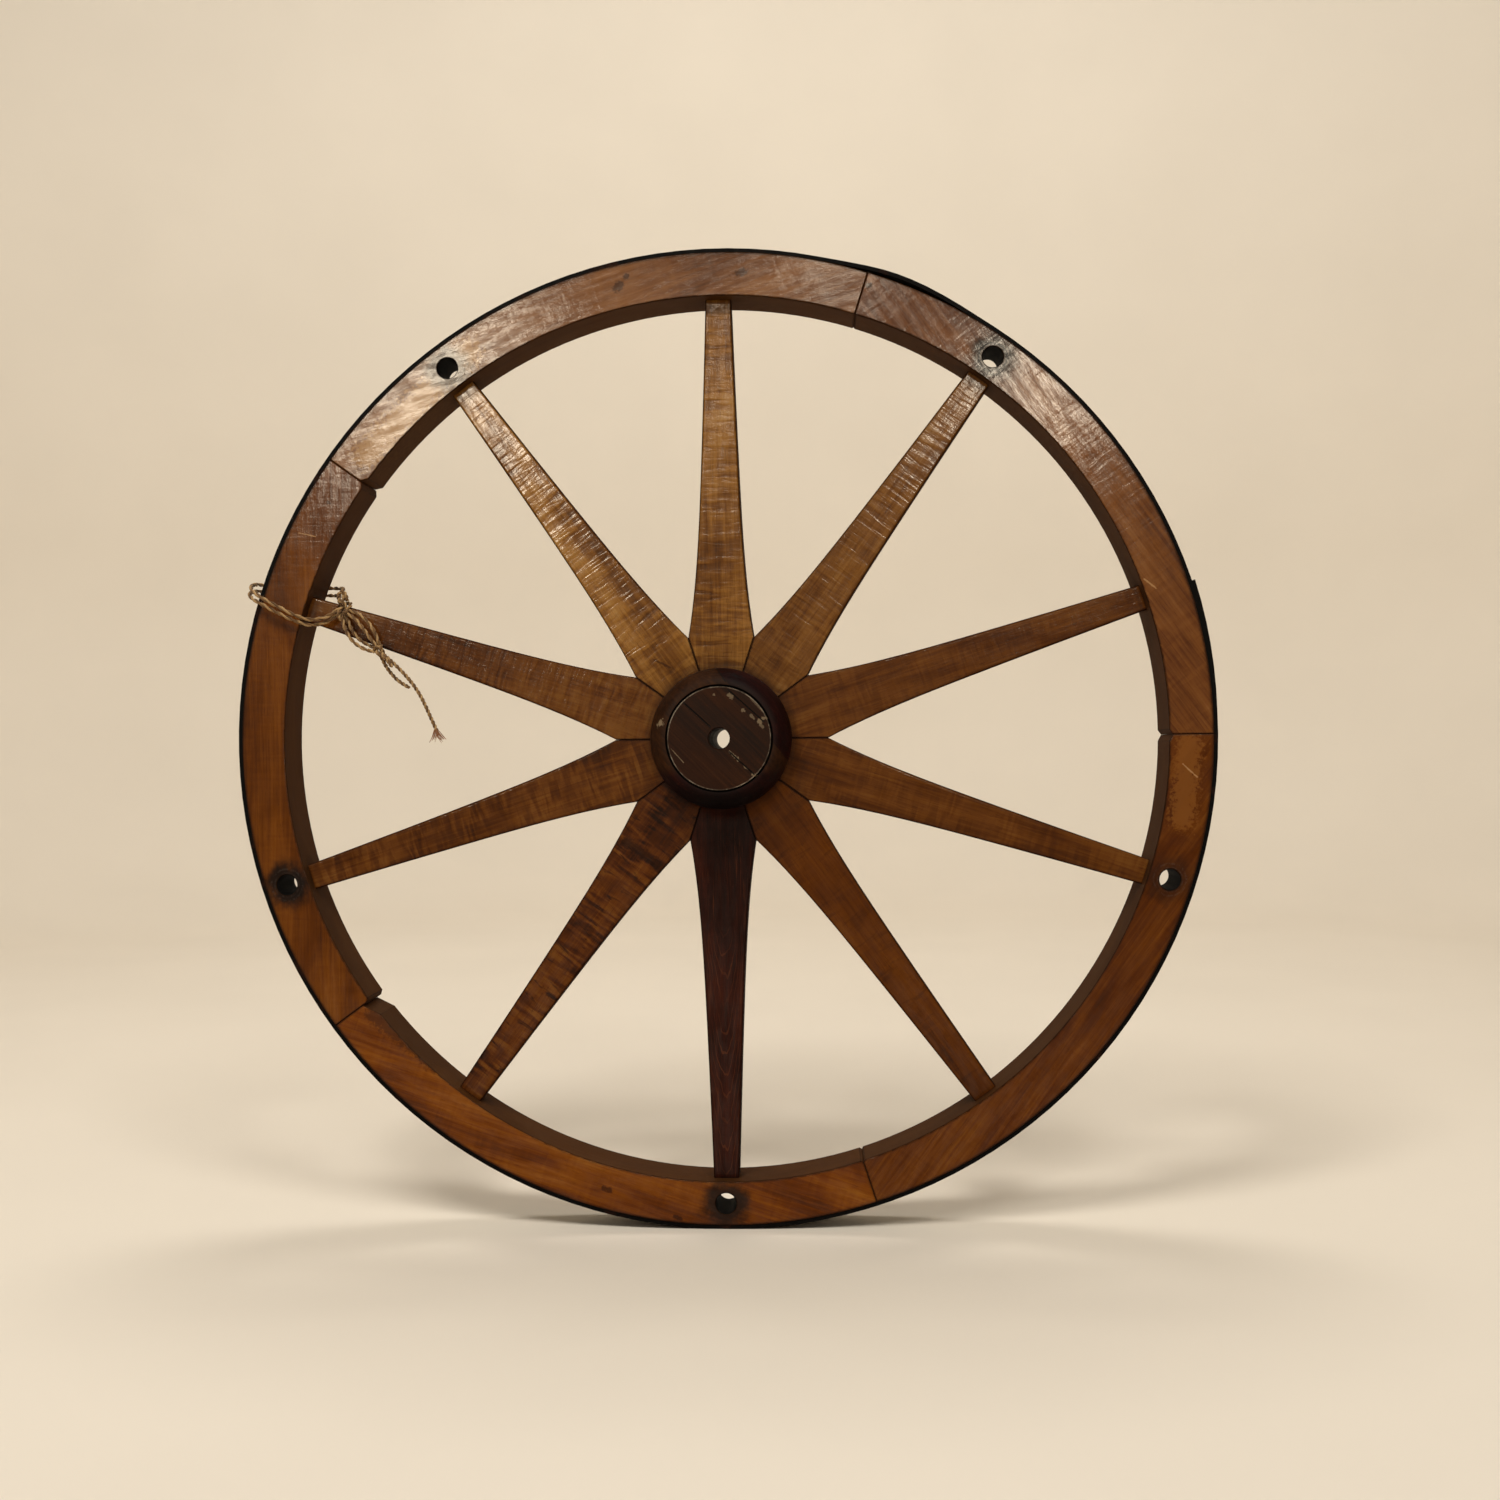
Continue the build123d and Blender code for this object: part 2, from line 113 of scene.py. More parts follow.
class Paint:
    """One material, with short calls that add nodes to it. An input is a number or an output."""

    def __init__(self, name, **constants):
        self.material = bpy.data.materials.new(name)
        self.material.use_nodes = True
        self.tree = self.material.node_tree
        self.shader = self.tree.nodes["Principled BSDF"]
        for socket, value in constants.items():
            self.shader.inputs[socket.replace("_", " ")].default_value = value
        self.place = self.node("TexCoord", output="Object")

    def node(self, kind, inputs=(), output=0, **settings):
        node = self.tree.nodes.new("ShaderNode" + kind)
        for name, setting in settings.items():
            setattr(node, name, setting)
        for name, value in dict(inputs).items():
            self.plug(value, node.inputs[name])
        return node.outputs[output]

    def plug(self, value, socket):
        if isinstance(value, bpy.types.NodeSocket):
            self.tree.links.new(value, socket)
        else:
            socket.default_value = value

    def math(self, operation, a, b=0.0):
        return self.node("Math", {0: a, 1: b}, operation=operation)

    def blend(self, a, b, share):
        """Two values mixed, of which the second counts for a share of the whole."""
        return self.math("ADD", self.math("MULTIPLY", a, 1 - share), self.math("MULTIPLY", b, share))

    def vector(self, operation, a, b=(0, 0, 0), output=0):
        return self.node("VectorMath", {0: a, 1: b}, output, operation=operation)

    def turned(self, angle, shift=(0, 0, 0)):
        """The object's place, turned so that its Z axis lies along a clock angle."""
        turn = (0, -math.radians(angle), 0)
        return self.node("Mapping", {"Vector": self.place, "Rotation": turn, "Location": shift})

    def noise(self, vector, stretch=(1, 1, 1), detail=3.0, roughness=0.5, distortion=0.0):
        """Noise from 0 to 1 whose frequency along each axis, per metre, is stretch."""
        scaled = self.vector("MULTIPLY", vector, stretch)
        inputs = {"Vector": scaled, "Scale": 1.0, "Detail": detail, "Roughness": roughness}
        return self.node("TexNoise", {**inputs, "Distortion": distortion}, "Fac")

    def step(self, value, low, high, out_low=0.0, out_high=1.0):
        """A smooth step of a value from one range to another."""
        inputs = {"Value": value, "From Min": low, "From Max": high}
        inputs.update({"To Min": out_low, "To Max": out_high})
        return self.node("MapRange", inputs, interpolation_type="SMOOTHSTEP")

    def mix(self, factor, a, b):
        """One colour laid over another by a factor."""
        node = self.tree.nodes.new("ShaderNodeMix")
        node.data_type = "RGBA"
        for value, number in ((factor, 0), (a, 6), (b, 7)):
            self.plug(value, node.inputs[number])
        return node.outputs[2]

    def ramp(self, value, positions, colours):
        """Colours along a value, each at its position."""
        node = self.tree.nodes.new("ShaderNodeValToRGB")
        self.plug(value, node.inputs[0])
        elements = node.color_ramp.elements
        while len(elements) < len(colours):
            elements.new(1.0)
        for element, position, colour in zip(elements, positions, colours):
            element.position, element.color = position, colour
        return node.outputs[0]

    def parts(self, vector):
        """The X, Y and Z of a vector."""
        node = self.tree.nodes.new("ShaderNodeSeparateXYZ")
        self.plug(vector, node.inputs[0])
        return node.outputs

    def bump(self, height, distance, strength=1.0, normal=None):
        """Relief whose full height is the distance, laid on an earlier normal."""
        inputs = {"Height": height, "Distance": distance, "Strength": strength}
        if normal is not None:
            inputs["Normal"] = normal
        return self.node("Bump", inputs)

    def radius_from(self, x, z):
        """Distance from a line along Y through (x, z)."""
        offset = self.vector("SUBTRACT", self.place, (x, 0, z))
        flat = self.vector("MULTIPLY", offset, (1, 0, 1))
        return self.vector("LENGTH", flat, output="Value")

    def line_distance(self, start, end):
        """Distance, seen from the front, from the line between two (x, z) points in millimetres."""
        start, end = (Vector((x * MM, 0, z * MM)) for x, z in (start, end))
        along = end - start
        offset = self.vector("MULTIPLY", self.vector("SUBTRACT", self.place, start), (1, 0, 1))
        share = self.vector("DOT_PRODUCT", offset, along / along.length_squared, output="Value")
        share = self.math("MINIMUM", self.math("MAXIMUM", share, 0.0), 1.0)
        foot = self.node("VectorMath", {0: along, "Scale": share}, operation="SCALE")
        return self.vector("LENGTH", self.vector("SUBTRACT", offset, foot), output="Value")

    def off(self, distance, radius):
        """How far a distance is from a radius, to either side."""
        return self.math("ABSOLUTE", self.math("SUBTRACT", distance, radius))

    def blot(self, line, reach, amount, colour, over, fray=0.0):
        """A colour laid over another near a line. Fray makes its edge ragged by that share of its reach."""
        distance, reach = self.line_distance(*line), reach * MM
        if fray:
            noise = self.noise(self.place, (300, 300, 300), 4, 0.7)
            ragged = self.math("MULTIPLY", self.math("SUBTRACT", noise, 0.5), 2 * fray * reach)
            distance = self.math("ADD", distance, ragged)
        return self.mix(self.step(distance, reach, reach * 0.4, 0.0, amount), over, colour)

    def facing(self):
        """How squarely the surface faces front or rear: 0 edge-on, 1 square."""
        normal = self.node("NewGeometry", output="Normal")
        return self.math("ABSOLUTE", self.parts(normal)[1])

    def arris(self, reach):
        """1 along an edge of the wood, and 0 from a little beyond its reach."""
        rounded = self.node("Bevel", {"Radius": reach}, samples=4)
        normal = self.node("NewGeometry", output="Normal")
        return self.step(self.vector("DOT_PRODUCT", rounded, normal, output="Value"), 0.998, 0.95)

    def finish(self, colour, roughness, normal, coat=()):
        """Wire up the shader. A coat is its weight and its normal."""
        self.plug(colour, self.shader.inputs["Base Color"])
        self.plug(roughness, self.shader.inputs["Roughness"])
        self.plug(normal, self.shader.inputs["Normal"])
        for value, socket in zip(coat, ("Coat Weight", "Coat Normal")):
            self.plug(value, self.shader.inputs[socket])
        return self.material


# ---------------------------------------------------------------- wood

# Wood tones, from dark grain lines to the lightest figure, and where they lie along the grain's noise
GOLDEN = tones((62, 30, 3), (108, 64, 16), (142, 94, 36), (168, 122, 62))
AMBER = tones((56, 26, 3), (94, 53, 11), (120, 75, 26), (144, 101, 50))
RUSSET = tones((44, 18, 2), (78, 38, 2), (101, 56, 12), (122, 77, 28))
TAN = tones((48, 20, 1), (84, 40, 1), (99, 51, 3), (116, 67, 13))
UMBER = tones((34, 12, 1), (72, 32, 2), (94, 48, 8), (114, 67, 18))
OXBLOOD = tones((18, 3, 0), (36, 8, 2), (54, 17, 5), (94, 47, 20))
GRAIN_STOPS = (0.28, 0.44, 0.57, 0.74)
# Each spoke, clockwise from the top: its tones, and how strong its crosswise ripple and dark flecks are
SPOKE_LOOKS = [
    (GOLDEN, 0.8, 0.0), (AMBER, 0.7, 0.0), (RUSSET, 0.4, 0.0), (RUSSET, 0.4, 0.0), (TAN, 0.3, 0.3),
    (OXBLOOD, 0.15, 0.0), (UMBER, 1.5, 0.9), (RUSSET, 0.9, 0.2), (RUSSET, 0.9, 0.0), (GOLDEN, 0.8, 0.0),
]
# Each felloe, clockwise from the joint right of the top: tones, ripple, bolt stain, washer scuffs
FELLOE_LOOKS = [
    (tones((54, 24, 8), (90, 48, 17), (116, 68, 27), (140, 92, 48)), 0.22, 1.0, 0.9),
    (tones((48, 19, 1), (80, 36, 1), (102, 53, 7), (128, 76, 22)), 0.16, 0.5, 0.1),
    (tones((56, 23, 1), (98, 46, 1), (124, 66, 7), (148, 91, 26)), 0.2, 0.9, 0.0),
    (tones((54, 22, 1), (90, 44, 1), (112, 60, 7), (136, 82, 25)), 0.18, 0.95, 0.1),
    (tones((60, 28, 9), (98, 55, 20), (122, 75, 34), (144, 98, 56)), 0.16, 0.85, 0.35),
]

# Stains, wear and dirt, with painted light among them: shade on the side faces, a shadow round the boss,
# shade in the bolt holes and a golden sheen
ARRIS_STAIN, OUTER_STAIN = srgb(22, 8, 3), srgb(26, 10, 4)
# The side colours are old stain and painted shade; the boss colour is a painted shadow
SPOKE_SIDE_STAIN_AND_SHADE, FELLOE_SIDE_STAIN_AND_SHADE, BOSS_PAINTED_SHADOW = srgb(30, 10, 3), srgb(58, 34, 13), srgb(34, 14, 4)
# The hole colour is painted shade on the bolt holes' walls
BOLT_STAIN, HOLE_PAINTED_SHADE, WASHER_SCUFF = srgb(16, 11, 9), srgb(5, 4, 4), srgb(118, 106, 94)
GOUGE, SCRATCH = srgb(18, 8, 4), srgb(176, 132, 84)
# The gold colour is a painted sheen
GOLD_PAINTED_SHEEN, WORN_AMBER = srgb(158, 112, 52), srgb(128, 76, 26)
KNOT_STAIN, SHADE_STAIN = srgb(44, 18, 5), srgb(66, 31, 4)

# All marks are in millimetres, as a line's two (x, z) ends and how far the mark reaches from it.
# Dark stains across a spoke's foot:
SPOKE_STAINS = {
    6: [((-76.0, -80.0), (-52.0, -97.0), 5.0)],
    9: [((-52.0, 62.0), (-40.0, 56.0), 1.2)],
}
# Marks on a felloe's face, each with its colour:
FELLOE_MARKS = {
    0: [((117.0, 349.5), (118.0, 349.0), 3.2, GOUGE),
        ((325.7, 119.2), (334.7, 112.1), 0.9, SCRATCH)],
    1: [((359.0, -8.0), (353.0, -64.0), 13.0, WORN_AMBER),
        ((353.9, -23.0), (364.4, -33.0), 0.8, SCRATCH)],
    2: [((-275.0, -214.0), (-226.0, -252.0), 9.0, SHADE_STAIN),
        ((-96.0, -349.0), (-90.0, -351.0), 2.6, KNOT_STAIN),
        ((-40.0, -371.0), (-36.0, -373.0), 2.2, KNOT_STAIN)],
    3: [((-307.9, 189.0), (-307.5, 188.6), 2.0, KNOT_STAIN),
        ((-331.0, 165.0), (-318.0, 162.0), 0.6, SCRATCH)],
    # Felloe 5's gold mark is a painted sheen where the varnish catches the light
    4: [((-276.0, 226.0), (-196.0, 303.0), 15.0, GOLD_PAINTED_SHEEN),
        ((-78.5, 351.5), (-76.0, 354.0), 5.0, KNOT_STAIN),
        ((-71.5, 359.5), (-70.5, 360.5), 2.8, KNOT_STAIN),
        ((18.0, 361.0), (20.5, 362.0), 4.2, KNOT_STAIN)],
}

RIPPLE_LENGTH, RIPPLE_HEIGHT = 4.4 * MM, 0.22 * MM
ARCH_PITCH, ARCH_CURVE = 19 * MM, 420.0
VARNISH_COAT = 0.26


def wood_layers(paint, along, shades, ripple):
    """Colour, streaks, pores and ripple of wood whose grain runs along Z of the turned place."""
    streaks = paint.noise(along, (420, 420, 14), 5, 0.6, 0.4)
    pores = paint.noise(along, (1700, 1700, 110), 2, 0.5)
    cloud = paint.noise(along, (34, 34, 9), 3, 0.55, 0.6)
    share = paint.step(paint.noise(along, (45, 45, 60), 3, 0.55), 0.36, 0.60, 0.1, 1.0)
    bars = paint.noise(along, (38, 38, 1 / RIPPLE_LENGTH), 2, 0.45, 0.4)
    dark_bars = paint.math("MULTIPLY", paint.step(bars, 0.36, 0.64, -0.5, 0.5), share)
    swell = paint.step(bars, 0.2, 0.8)
    tone = paint.blend(streaks, cloud, 0.64)
    tone = paint.math("ADD", tone, paint.math("MULTIPLY", dark_bars, 0.19 * ripple))
    colour = paint.ramp(tone, GRAIN_STOPS, shades)
    colour = paint.mix(paint.step(pores, 0.60, 0.72, 0.0, 0.45), colour, shades[0])
    return colour, streaks, pores, swell


def cathedral(paint, along, colour, shades):
    """Nested arches of lighter grain that point outwards, and straight lines near the spoke's foot."""
    x, _, z = paint.parts(along)
    bow = paint.math("MULTIPLY", paint.math("MULTIPLY", x, x), ARCH_CURVE)
    stray = paint.math("MULTIPLY", paint.noise(along, (70, 70, 18), 3, 0.55), 0.05)
    height = paint.math("ADD", paint.math("ADD", z, bow), stray)
    wave = paint.math("SINE", paint.math("MULTIPLY", height, 2 * math.pi / ARCH_PITCH))
    arches = paint.math("MULTIPLY", paint.step(wave, 0.86, 1.0), paint.step(z, 0.13, 0.18))
    fine = paint.noise(along, (900, 900, 16), 3, 0.6)
    straight = paint.math("MULTIPLY", paint.step(fine, 0.54, 0.70), paint.step(z, 0.20, 0.12))
    faint = paint.step(paint.noise(along, (60, 60, 20), 3, 0.6), 0.38, 0.62, 0.05, 0.5)
    figure = paint.math("MULTIPLY", paint.math("ADD", arches, straight), faint)
    return paint.mix(figure, colour, shades[3])


def varnish(paint, along, layers, ripple):
    """The wood's relief, and the brushed, worn varnish over it: a normal, and a coat."""
    _, streaks, pores, swell = layers
    coat = None
    for stretch, detail, roughness, height in (
            ((60, 60, 40), 2, 0.5, 0.16 * MM),
            ((800, 800, 75), 3, 0.6, 0.09 * MM),
            ((900, 900, 300), 3, 0.6, 0.06 * MM)):
        coat = paint.bump(paint.noise(along, stretch, detail, roughness), height, 0.8, coat)
    coat = paint.bump(swell, RIPPLE_HEIGHT, ripple, coat)
    coat = paint.bump(pores, 0.03 * MM, 0.8, coat)
    worn = paint.step(paint.noise(along, (200, 200, 45), 4, 0.7), 0.40, 0.60, 0.3, 1.0)
    weight = paint.math("MULTIPLY", paint.step(paint.facing(), 0.9, 0.99, 0.03, VARNISH_COAT), worn)
    return paint.bump(streaks, 0.12 * MM, 0.8, coat), (weight, coat)


def darken_sides(paint, colour, side_stain_and_shade, amount=0.85):
    """Old stain and painted shade on every surface that doesn't face front or rear, and old stain caught
    along every arris.
    """
    # Painted shade and old stain on the faces that turn away from front and rear
    side = paint.step(paint.facing(), 0.985, 0.6, 0.0, amount)
    arris = paint.math("MULTIPLY", paint.arris(1.7 * MM), 0.8)
    return paint.mix(arris, paint.mix(side, colour, side_stain_and_shade), ARRIS_STAIN)


def wood_roughness(paint, low, high):
    """Patchy varnish on the faces that are rubbed, and bare dull wood on the rest."""
    patches = paint.noise(paint.place, (45, 45, 45), 4, 0.6)
    front = paint.step(patches, 0.35, 0.65, low, high)
    side = paint.step(paint.facing(), 0.99, 0.9)
    return paint.math("MAXIMUM", front, paint.math("MULTIPLY", side, 0.8))


def wood_paint(name):
    return Paint(name, Coat_Roughness=0.15, Coat_IOR=1.5, Specular_IOR_Level=0.04)


def spoke_material(number, shades, ripple, flecks):
    """One spoke's wood: grain along the spoke, dark arrises, and its own share of figure."""
    angle = number * SPOKE_STEP
    paint = wood_paint(f"spoke_{number + 1}_wood")
    along = paint.turned(angle, (0.37 * number, 0.11 * number, 0.53 * number))
    layers = wood_layers(paint, along, shades, ripple)
    colour = layers[0]
    if flecks:
        spots = paint.noise(along, (48, 48, 210), 3, 0.6, 0.8)
        colour = paint.mix(paint.step(spots, 0.56, 0.70, 0.0, flecks), colour, shades[0])
    for start, end, reach in SPOKE_STAINS.get(number, ()):
        colour = paint.blot((start, end), reach, 0.75, shades[0], colour, fray=0.9)
    if shades is OXBLOOD:
        colour = cathedral(paint, paint.turned(angle), colour, shades)
    from_axle = paint.radius_from(0, 0)
    # Painted shadow on the spoke's foot all round the boss
    painted_shadow_round_boss = paint.step(from_axle, HUB_RADIUS + 9 * MM, HUB_RADIUS - 1 * MM, 0.0, 0.55)
    colour = paint.mix(painted_shadow_round_boss, colour, BOSS_PAINTED_SHADOW)
    colour = darken_sides(paint, colour, SPOKE_SIDE_STAIN_AND_SHADE)
    relief, coat = varnish(paint, along, layers, ripple)
    return paint.finish(colour, wood_roughness(paint, 0.4, 0.6), relief, coat)


def bolt_stain(paint, colour, from_hole, stain, scuffs):
    """A soft dark halo round a bolt hole, and two pale broken rings where a washer has scuffed it."""
    ragged = paint.math("SUBTRACT", paint.noise(paint.place, (90, 90, 90), 4, 0.6), 0.5)
    blurred = paint.math("ADD", from_hole, paint.math("MULTIPLY", ragged, 18 * MM))
    halo = paint.step(blurred, BOLT_RADIUS + 16 * MM, BOLT_RADIUS + 3 * MM, 0.0, stain)
    colour = paint.mix(halo, colour, BOLT_STAIN)
    wobble = paint.math("ADD", from_hole, paint.math("MULTIPLY", ragged, 1.6 * MM))
    broken = paint.step(paint.noise(paint.place, (520, 520, 520), 3, 0.6), 0.44, 0.6, 0.0, scuffs)
    for radius, width in ((BOLT_RADIUS + 4.4 * MM, 1.1 * MM), (BOLT_RADIUS + 1.2 * MM, 1.3 * MM)):
        ring = paint.step(paint.off(wobble, radius), width, width * 0.3)
        colour = paint.mix(paint.math("MULTIPLY", ring, broken), colour, WASHER_SCUFF)
    return colour


def felloe_material(number, shades, ripple, stain, scuffs):
    """One felloe's wood: grain along its chord, its marks, and a worn stain round its bolt hole."""
    start = FIRST_JOINT + number * FELLOE_STEP
    paint = wood_paint(f"felloe_{number + 1}_wood")
    along = paint.turned(start + FELLOE_STEP / 2 + 90, (0.71 * number, 0.19 * number, 0.29 * number))
    layers = wood_layers(paint, along, shades, ripple)
    colour = layers[0]
    for begin, end, reach, shade in FELLOE_MARKS.get(number, ()):
        colour = paint.blot((begin, end), reach, 0.75, shade, colour, fray=1.3)
    hole = on_clock(start + BOLT_OFFSET, BOLT_CIRCLE)
    from_hole = paint.radius_from(hole.x, hole.z)
    colour = bolt_stain(paint, colour, from_hole, stain, scuffs)
    from_axle = paint.radius_from(0, 0)
    under_hoop = paint.step(from_axle, RIM_RADIUS - 6.5 * MM, RIM_RADIUS - 3 * MM, 0.0, 0.6)
    colour = paint.mix(under_hoop, colour, OUTER_STAIN)
    colour = darken_sides(paint, colour, FELLOE_SIDE_STAIN_AND_SHADE, 0.9)
    # Painted shade, near black, on the bolt hole's wall
    painted_shade_in_hole = paint.step(from_hole, BOLT_RADIUS + 0.7 * MM, BOLT_RADIUS + 0.1 * MM)
    colour = paint.mix(painted_shade_in_hole, colour, HOLE_PAINTED_SHADE)
    relief, coat = varnish(paint, along, layers, ripple)
    return paint.finish(colour, wood_roughness(paint, 0.38, 0.58), relief, coat)


# ---------------------------------------------------------------- hub, iron and dowels

# The hub's tones: its face, its shoulder's worn side painted lighter as if lit, and the red side past the
# seam painted darker as shade
HUB_FACE = tones((22, 7, 1), (38, 15, 2), (52, 25, 7))
HUB_PALE_WORN_AND_LIT = tones((24, 9, 2), (42, 20, 5), (56, 30, 9))
HUB_RED_AND_SHADED = tones((14, 1, 0), (26, 3, 2), (42, 10, 4))
HUB_STOPS = (0.35, 0.5, 0.65)
# A painted shadow below the hub's shoulder, and painted shade in its groove
HUB_PAINTED_SHADOW, GROOVE_PAINTED_SHADE = srgb(4, 0, 0), srgb(8, 3, 1)
CRACK_DIRT, SEAM_DIRT = srgb(5, 2, 1), srgb(8, 2, 1)
HUB_DUST, HUB_SCUFF = srgb(142, 128, 110), srgb(132, 112, 86)
# Pale scuffs on the hub's face and shoulder: the line's two ends, how far it reaches, how strong it is
HUB_MARKS = [
    ((-3.4, 33.1), (-3.0, 33.0), 1.1, 0.6), ((7.8, 33.0), (9.8, 31.0), 1.9, 0.6),
    ((18.4, 21.2), (19.2, 20.4), 1.5, 0.6), ((24.6, 16.8), (26.6, 14.6), 1.4, 0.5),
    ((30.4, 12.8), (35.0, 14.8), 1.9, 0.7), ((31.4, 9.8), (33.0, 8.4), 1.2, 0.5),
    ((24.0, 30.0), (32.6, 20.6), 0.7, 0.35), ((8.4, -10.6), (15.6, -17.4), 1.4, 0.75),
    ((18.4, -20.6), (21.6, -23.4), 0.8, 0.6), ((25.0, -27.2), (27.4, -28.6), 1.3, 0.75),
    ((-36.4, -7.4), (-27.0, -18.0), 0.4, 0.6), ((-44.4, 11.0), (-43.6, 13.0), 2.8, 0.8),
]
# The drying cracks in the hub's face, where part.py cuts them, and one more across its shoulder
FACE_CRACKS = [((-26.5, 27.3), (-6.6, 9.0)), ((7.7, -10.2), (26.3, -27.4)), ((7.1, 36.8), (33.8, 12.4))]
SHOULDER_CRACK = ((-2.9, 54.5), (5.4, 43.0))
# Black iron's tones, on its edge and on its tread, from the bare metal to its rubbed scale
IRON_STOPS = (0.35, 0.62, 0.8)
IRON_DULL, IRON_RUBBED, RUST = srgb(11, 10, 9), srgb(26, 22, 19), srgb(66, 32, 15)
TREAD = tones((19, 17, 16), (34, 30, 27), (62, 53, 46))


def hub_colour(paint, tone, distance):
    """The face inside the groove, and a shoulder that is pale at the left from wear and painted light,
    darker red past the seam and at the bottom from painted shade, and black below as a painted shadow.
    """
    face, worn_and_lit_side, red_and_shaded_side = (
        paint.ramp(tone, HUB_STOPS, shades) for shades in (HUB_FACE, HUB_PALE_WORN_AND_LIT, HUB_RED_AND_SHADED))
    x, _, z = paint.parts(paint.place)
    slant = paint.math("ADD", paint.math("MULTIPLY", x, 0.8), paint.math("MULTIPLY", z, 0.6))
    past_seam = paint.step(slant, 30.4 * MM, 31.2 * MM)
    # Painted shade: the shoulder turns red towards the bottom
    lower = paint.step(z, -20 * MM, -30 * MM)
    shoulder = paint.mix(paint.math("MAXIMUM", past_seam, lower), worn_and_lit_side, red_and_shaded_side)
    # Painted shadow: the lowest part of the shoulder turns black
    shoulder = paint.mix(paint.step(z, -24 * MM, -50 * MM, 0.0, 0.9), shoulder, HUB_PAINTED_SHADOW)
    return paint.mix(paint.step(distance, GROOVE_RADIUS, GROOVE_RADIUS + 1 * MM), face, shoulder)


def hub_material():
    """Dark turned wood: lathe lines, a groove painted dark as shade with dust on its lip, and grain down to
    the right.
    """
    paint = Paint("hub_wood_dark", Specular_IOR_Level=0.05)
    along = paint.turned(135)
    streaks = paint.noise(along, (420, 420, 14), 5, 0.6, 0.3)
    cloud = paint.noise(along, (50, 50, 16), 3, 0.55)
    distance = paint.radius_from(0, 0)
    colour = hub_colour(paint, paint.blend(streaks, cloud, 0.5), distance)

    # Painted shade, near black, in the groove
    painted_shade_in_groove = paint.step(paint.off(distance, GROOVE_RADIUS), 1.1 * MM, 0.7 * MM)
    colour = paint.mix(painted_shade_in_groove, colour, GROOVE_PAINTED_SHADE)
    patchy = paint.step(paint.noise(paint.place, (110, 110, 110), 4, 0.7), 0.38, 0.62, 0.12, 0.9)
    lip = paint.step(paint.off(distance, GROOVE_RADIUS - 1.1 * MM), 0.55 * MM, 0.2 * MM)
    colour = paint.mix(paint.math("MULTIPLY", lip, patchy), colour, HUB_DUST)
    for start, end, reach, amount in HUB_MARKS:
        colour = paint.blot((start, end), reach, amount, HUB_SCUFF, colour, fray=2)
    for crack in FACE_CRACKS:
        colour = paint.blot(crack, 0.8, 0.95, CRACK_DIRT, colour)
    colour = paint.blot(SHOULDER_CRACK, 0.7, 0.9, SEAM_DIRT, colour)

    depth = paint.parts(paint.place)[1]
    turned = paint.node("CombineXYZ", {"X": distance, "Y": depth})
    lathe = paint.noise(turned, (900, 900, 900), 2)
    normal = paint.bump(lathe, 0.1 * MM, 0.6)
    normal = paint.bump(streaks, 0.25 * MM, 0.6, normal)
    return paint.finish(colour, paint.step(cloud, 0.3, 0.7, 0.5, 0.66), normal)


def iron_material(name, dark, rust):
    """Matt black iron, with scale, rubbed spots and a little rust."""
    paint = Paint(name, Specular_IOR_Level=0.03)
    scale = paint.noise(paint.place, (260, 260, 260), 5, 0.65)
    patches = paint.noise(paint.place, (34, 34, 34), 4, 0.6)
    edge = paint.ramp(scale, IRON_STOPS, (dark, IRON_DULL, IRON_RUBBED))
    tread = paint.ramp(scale, IRON_STOPS, TREAD)
    colour = paint.mix(paint.step(paint.facing(), 0.3, 0.8), tread, edge)
    rusty = paint.math("MULTIPLY", paint.step(patches, 0.56, 0.7), rust)
    colour = paint.mix(rusty, colour, RUST)
    roughness = paint.step(scale, 0.3, 0.7, 0.5, 0.82)
    return paint.finish(colour, roughness, paint.bump(scale, 0.25 * MM, 0.7))


def dowel_material():
    """Bare beech, hidden inside the joints."""
    paint = Paint("dowel_wood_bare")
    lines = paint.noise(paint.place, (600, 90, 600), 4, 0.6)
    colour = paint.ramp(lines, (0.35, 0.65), tones((150, 112, 72), (196, 160, 116)))
    return paint.finish(colour, paint.step(lines, 0.3, 0.7, 0.55, 0.75), paint.bump(lines, 0.2 * MM))


def jute_material(name, shades):
    """Dry jute: straw and brown fibres, matt and hairy."""
    paint = Paint(name, Sheen_Weight=0.15, Sheen_Roughness=0.5, Specular_IOR_Level=0.2)
    fibres = paint.noise(paint.place, (2600, 2600, 2600), 3, 0.6)
    patches = paint.noise(paint.place, (150, 150, 150), 3, 0.6)
    colour = paint.ramp(paint.blend(fibres, patches, 0.5), JUTE_STOPS, shades)
    roughness = paint.step(fibres, 0.3, 0.7, 0.7, 0.92)
    return paint.finish(colour, roughness, paint.bump(fibres, 0.12 * MM, 0.8))


# ---------------------------------------------------------------- twine

# Jute's tones, from its dark gaps to its bleached fibres
JUTE_STOPS = (0.30, 0.44, 0.57, 0.72)
PALE_JUTE = tones((108, 76, 40), (152, 116, 70), (182, 146, 96), (210, 178, 130))
# The second ply's tones: the jute painted darker as shade
SHADED_JUTE = tones((62, 38, 16), (96, 66, 33), (128, 93, 52), (158, 122, 76))
FRAYED_JUTE = tones((92, 52, 28), (138, 88, 56), (168, 116, 78), (196, 150, 112))
